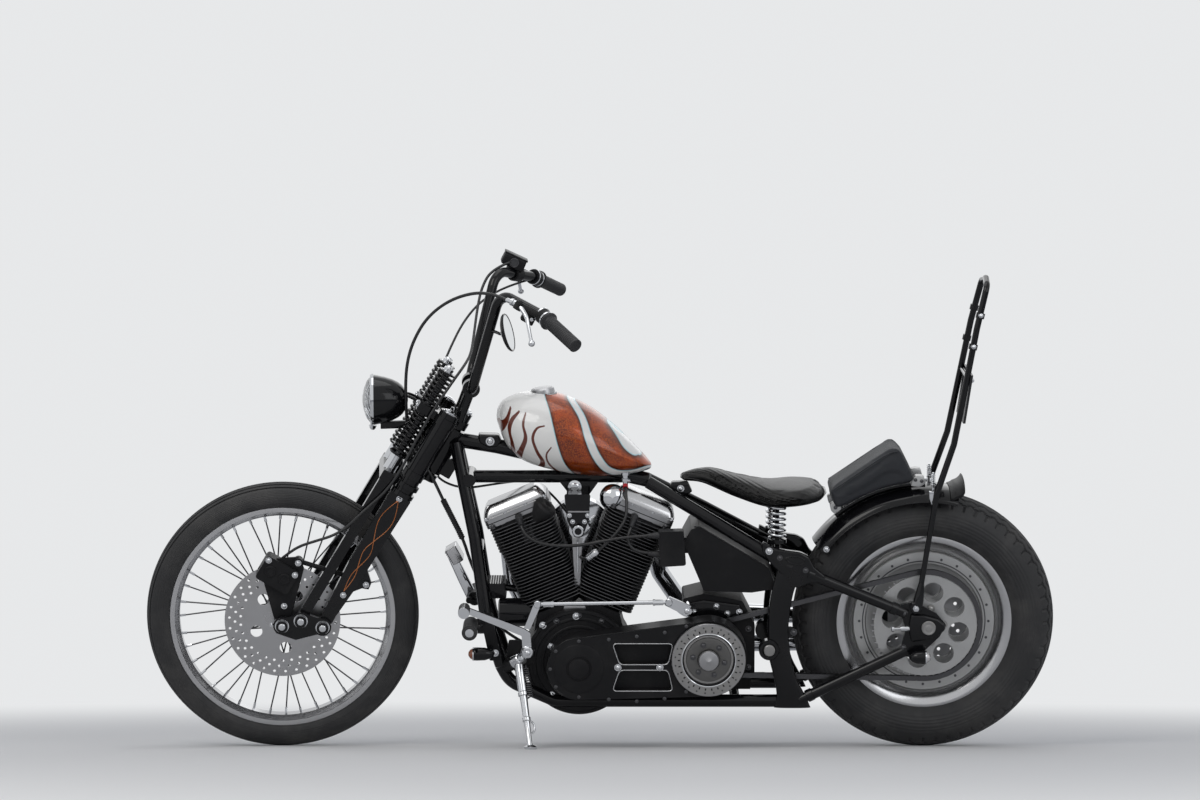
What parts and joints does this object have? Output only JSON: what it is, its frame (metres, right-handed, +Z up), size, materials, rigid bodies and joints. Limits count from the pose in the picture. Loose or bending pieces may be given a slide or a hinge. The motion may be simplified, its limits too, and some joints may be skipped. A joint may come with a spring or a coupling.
{
  "type": "chopper motorcycle",
  "caption": "Long, low motorcycle with a springer fork, open V-twin engine, belt primary drive and high back bar, leaning on its side stand.",
  "frame": {"origin": "on the floor, under the middle of the whole machine's box, as it leans on its side stand", "axes": "+X forward, +Y to the machine's left, the side it leans to, +Z up"},
  "size_m": [2.3047, 0.8072, 1.2736],
  "materials": {
    "frame_black": "gloss black paint",
    "engine_black": "semi-gloss black heat paint",
    "engine_cover": "satin polished cast aluminium with chrome lids",
    "chrome": "polished chrome",
    "steel": "brushed stainless steel with drilled holes",
    "bare_metal": "machined grey clutch hub",
    "rim_silver": "silver painted cast wheel with a turned lip",
    "rim_polished": "polished rim with dark spokes",
    "tyre": "black rubber",
    "rubber": "black moulded rubber",
    "tank_paint": "white and orange metalflake under clear coat",
    "leather": "black pleated leather",
    "pad_cloth": "charcoal vinyl",
    "lamp_black": "gloss black shell with a ribbed glass lens",
    "mirror_glass": "mirror glass in a black shell",
    "plate_black": "blank plate",
    "cable_black": "black sheathed cable"
  },
  "bodies": {
    "root": {"frame_head": "frame_black", "frame_backbone": "frame_black", "frame_downtubes": "frame_black", "frame_rails": "frame_black", "frame_seat_rails": "frame_black", "frame_side_plates": "frame_black", "frame_lower_stays": "frame_black", "frame_upper_stays": "frame_black", "crankcase": "engine_black", "cylinders": "engine_black", "rocker_boxes": "engine_cover", "engine_bracket": "chrome", "pushrod_tubes": "chrome", "air_cleaner": "chrome", "exhaust_pipes": "chrome", "primary_drive": "engine_black", "clutch_drum": "bare_metal", "gearbox": "engine_black", "drive_chain": "steel", "gear_sprocket": "steel", "oil_tank": "frame_black", "coil_box": "rubber", "fuel_tank": "tank_paint", "saddle": "leather", "saddle_mount": "chrome", "rear_fender": "frame_black", "pillion_pad": "pad_cloth", "sissy_bar": "frame_black", "number_plate": "plate_black", "shift_linkage": "chrome", "foot_controls": "frame_black", "indicators": "lamp_black", "engine_auxiliaries": "engine_black", "rear_caliper": "frame_black", "front_plug_lead": "cable_black", "rear_plug_lead": "cable_black", "fuel_line": "cable_black"},
    "rear_wheel": {"rear_tyre": "tyre", "rear_rim": "rim_silver", "rear_sprocket": "rim_silver", "rear_disc": "steel"},
    "fork": {"fork_legs": "frame_black", "spring_legs": "frame_black", "fork_springs": "frame_black", "fork_rockers": "frame_black", "front_caliper": "engine_black", "handlebar": "frame_black", "hand_controls": "rubber", "mirror": "mirror_glass", "headlamp": "lamp_black", "clutch_cable": "cable_black", "throttle_cable": "cable_black", "front_brake_hose": "cable_black"},
    "front_wheel": {"front_tyre": "tyre", "front_rim": "rim_polished", "front_disc": "steel"},
    "side_stand": {"side_stand": "steel"}
  },
  "joints": [
    {"name": "steering", "type": "hinge", "parent": "root", "child": "fork", "pos_m": [0.3756, -0.05581, 0.79373], "axis": [-0.515, 0.1855, 0.8368], "range_deg": [-33.75, 26.25], "deforming": ["clutch_cable", "throttle_cable"]},
    {"name": "rear_wheel_spin", "type": "hinge", "parent": "root", "child": "rear_wheel", "pos_m": [-0.8204, -0.15958, 0.32562], "axis": [0, 0.9763, -0.2164], "continuous": true},
    {"name": "front_wheel_spin", "type": "hinge", "parent": "fork", "child": "front_wheel", "pos_m": [0.80788, -0.14871, 0.3354], "axis": [-0.0561, 0.9669, -0.2489], "continuous": true},
    {"name": "side_stand", "type": "hinge", "parent": "root", "child": "side_stand", "pos_m": [0.2066, -0.04554, 0.22093], "axis": [-0.6013, 0.7327, 0.3187], "range_deg": [0, 40.54]}
  ]
}
